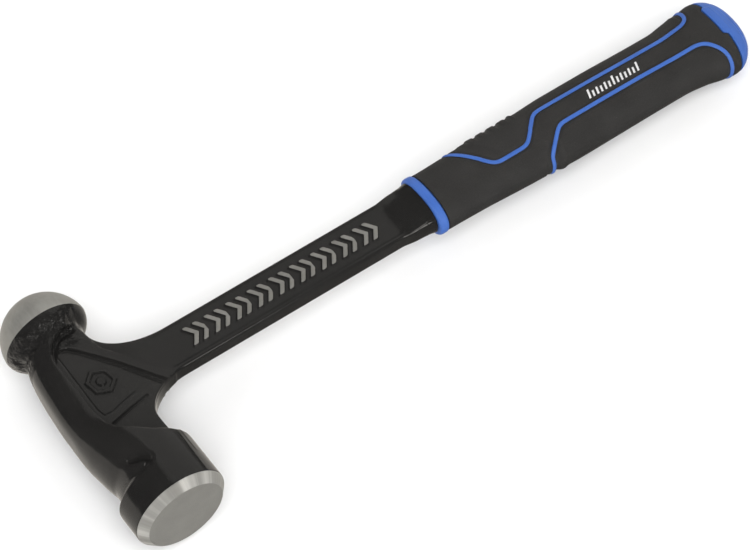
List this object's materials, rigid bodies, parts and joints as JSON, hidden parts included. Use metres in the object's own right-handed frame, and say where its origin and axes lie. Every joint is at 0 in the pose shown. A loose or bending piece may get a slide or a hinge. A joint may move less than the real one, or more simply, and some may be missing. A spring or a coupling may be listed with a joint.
{
  "type": "ball peen hammer",
  "caption": "One-piece forged hammer with a round striking face, a ball peen, a flat shaft and an oval moulded rubber grip.",
  "frame": {"origin": "centre of the striking face", "axes": "+X along the handle from head to butt, -Y out of the striking face and +Y towards the ball, +Z normal to the upper cheek"},
  "size_m": [0.3574, 0.1233, 0.042],
  "materials": {
    "black_lacquer": "glossy black lacquer on forged steel",
    "ground_steel": "ground and lightly polished",
    "blue_plastic": "satin blue moulded plastic",
    "pale_print": "thin pale grey ink on the rubber",
    "black_rubber": "matt black moulded rubber"
  },
  "bodies": {
    "root": {"forged_body": "black_lacquer", "grip_core": "blue_plastic", "front_ring": "blue_plastic", "grip_shell": "black_rubber", "back_piping": "blue_plastic", "back_pad": "black_rubber", "finger_piping": "blue_plastic", "finger_pad": "black_rubber", "end_cap": "blue_plastic"}
  },
  "joints": []
}
